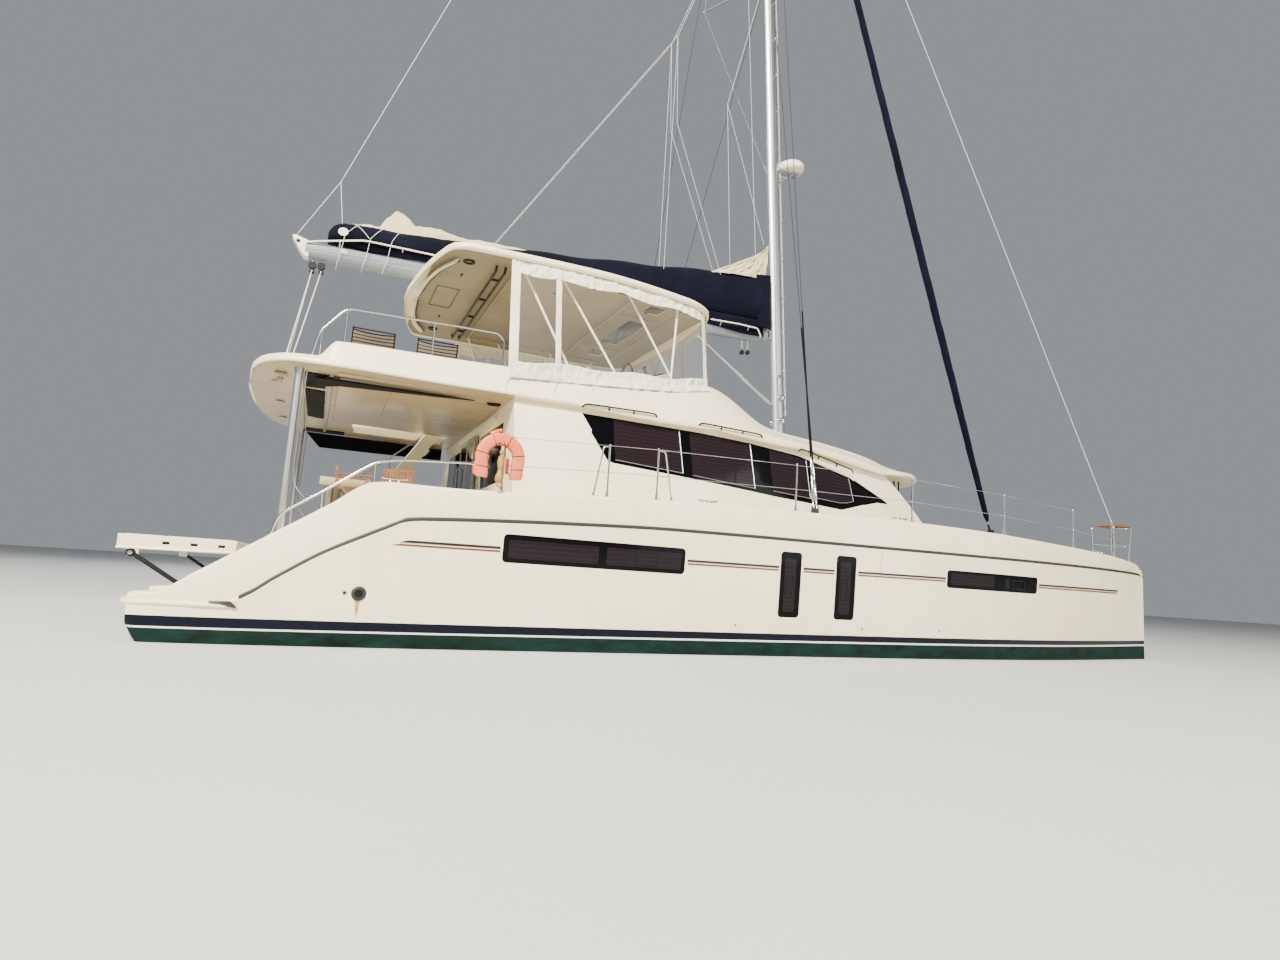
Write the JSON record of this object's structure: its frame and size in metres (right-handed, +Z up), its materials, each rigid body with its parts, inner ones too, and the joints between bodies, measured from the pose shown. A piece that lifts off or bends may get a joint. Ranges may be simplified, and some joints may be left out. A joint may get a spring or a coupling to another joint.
{
  "type": "sailing catamaran",
  "caption": "Cruising sailing catamaran with a flybridge under a hardtop, raked mast, boom with sail bag, furled headsail, stern steps and a lifting platform.",
  "frame": {"origin": "middle of the boat on the centreline, in the waterline plane", "axes": "+X to the bows, +Y to port, +Z up"},
  "size_m": [17.81, 8.4183, 30.2521],
  "materials": {
    "gelcoat": "glossy, weathered",
    "antifouling": "matt, fouled",
    "navy_cloth": "woven acrylic",
    "aluminium": "anodised satin",
    "stainless": "polished",
    "dark_glass": "tinted",
    "bronze": "satin",
    "white_cloth": "clear sheet with white woven edges",
    "teak": "oiled",
    "black_net": "knotted net",
    "salmon": "faded cover over foam",
    "grey_cushion": "woven",
    "black_plastic": "satin"
  },
  "bodies": {
    "boat": {"hull_starboard": "gelcoat", "hull_port": "gelcoat", "stern_starboard": "gelcoat", "stern_port": "gelcoat", "bridgedeck": "gelcoat", "roof": "gelcoat", "cabin_walls": "gelcoat", "aft_bulkhead": "gelcoat", "flybridge_stairs": "gelcoat", "hardtop": "gelcoat", "helm_console": "gelcoat", "walkway_beam": "gelcoat", "radar_dome": "gelcoat", "saloon_glass_starboard": "dark_glass", "saloon_glass_port": "dark_glass", "overhang_post_starboard": "stainless", "overhang_post_port": "stainless", "hardtop_struts_starboard": "stainless", "hardtop_struts_port": "stainless", "flybridge_rail_starboard": "stainless", "flybridge_rail_port": "stainless", "guard_rail_starboard": "stainless", "guard_rail_port": "stainless", "stern_rail_starboard": "stainless", "stern_rail_port": "stainless", "shrouds_starboard": "stainless", "shrouds_port": "stainless", "sling_chair_aft": "stainless", "sling_chair_fore": "stainless", "side_curtain_starboard": "white_cloth", "side_curtain_port": "white_cloth", "front_curtain": "white_cloth", "helm_seat": "grey_cushion", "flybridge_settee": "grey_cushion", "cockpit_settee": "grey_cushion", "teak_chair_aft": "teak", "teak_chair_fore": "teak", "cockpit_table": "teak", "crossbeam": "aluminium", "mast": "aluminium", "trampoline_starboard": "black_net", "trampoline_port": "black_net", "horseshoe_buoy": "salmon", "furler_drum": "black_plastic", "furled_headsail": "navy_cloth"},
    "rudder_starboard": {"rudder_starboard": "antifouling"},
    "rudder_port": {"rudder_port": "antifouling"},
    "propeller_starboard": {"propeller_starboard": "bronze"},
    "propeller_port": {"propeller_port": "bronze"},
    "helm_wheel": {"helm_wheel": "stainless"},
    "saloon_door": {"saloon_door": "dark_glass"},
    "front_door": {"front_door": "gelcoat"},
    "locker_lid_starboard": {"locker_lid_starboard": "gelcoat"},
    "locker_lid_port": {"locker_lid_port": "gelcoat"},
    "platform_arms": {"platform_arm_starboard": "black_plastic", "platform_arm_port": "black_plastic"},
    "lifting_platform": {"lifting_platform": "gelcoat"},
    "boom": {"boom": "aluminium", "sail_bag": "navy_cloth", "vang": "aluminium"}
  },
  "joints": [
    {"name": "boom_swing", "type": "hinge", "parent": "boat", "child": "boom", "pos_m": [1.63094, 0, 6.31118], "axis": [-0.0698, 0, 0.9976], "range_deg": [-55, 55]},
    {"name": "helm_turn", "type": "hinge", "parent": "boat", "child": "helm_wheel", "pos_m": [-1.97, -0.9, 4.48], "axis": [1, 0, 0], "range_deg": [-450, 450]},
    {"name": "rudder_turn_starboard", "type": "hinge", "parent": "boat", "child": "rudder_starboard", "pos_m": [-7.19, -3.2, -0.8], "axis": [0, 0, 1], "range_deg": [-35, 35]},
    {"name": "rudder_turn_port", "type": "hinge", "parent": "boat", "child": "rudder_port", "pos_m": [-7.19, 3.2, -0.8], "axis": [0, 0, 1], "range_deg": [-35, 35]},
    {"name": "propeller_spin_starboard", "type": "hinge", "parent": "boat", "child": "propeller_starboard", "pos_m": [-5.345, -3.2, -1.01], "axis": [1, 0, 0], "continuous": true},
    {"name": "propeller_spin_port", "type": "hinge", "parent": "boat", "child": "propeller_port", "pos_m": [-5.345, 3.2, -1.01], "axis": [1, 0, 0], "continuous": true},
    {"name": "saloon_door_slide", "type": "slide", "parent": "boat", "child": "saloon_door", "axis": [0, -1, 0], "range_m": [0, 1.25]},
    {"name": "front_door_swing", "type": "hinge", "parent": "boat", "child": "front_door", "pos_m": [2.864, -0.354, 2.3], "axis": [0, 0, -1], "range_deg": [0, 95]},
    {"name": "locker_lid_starboard", "type": "hinge", "parent": "boat", "child": "locker_lid_starboard", "pos_m": [4.74, -1.7, 2.1101], "axis": [0, -1, 0], "range_deg": [0, 80]},
    {"name": "locker_lid_port", "type": "hinge", "parent": "boat", "child": "locker_lid_port", "pos_m": [4.74, 1.7, 2.1101], "axis": [0, -1, 0], "range_deg": [0, 80]},
    {"name": "platform_lower", "type": "hinge", "parent": "boat", "child": "platform_arms", "pos_m": [-7.85, 0, 0.24], "axis": [0, -1, 0], "range_deg": [0, 60]},
    {"name": "platform_level", "type": "hinge", "parent": "platform_arms", "child": "lifting_platform", "pos_m": [-8.88, 0, 0.905], "axis": [0, -1, 0], "range_deg": [-60, 0]}
  ],
  "couplings": [
    {"joint": "rudder_turn_starboard", "follows": "helm_turn", "ratio": 0.0777},
    {"joint": "rudder_turn_port", "follows": "helm_turn", "ratio": 0.0777},
    {"joint": "platform_level", "follows": "platform_lower", "ratio": -1}
  ]
}
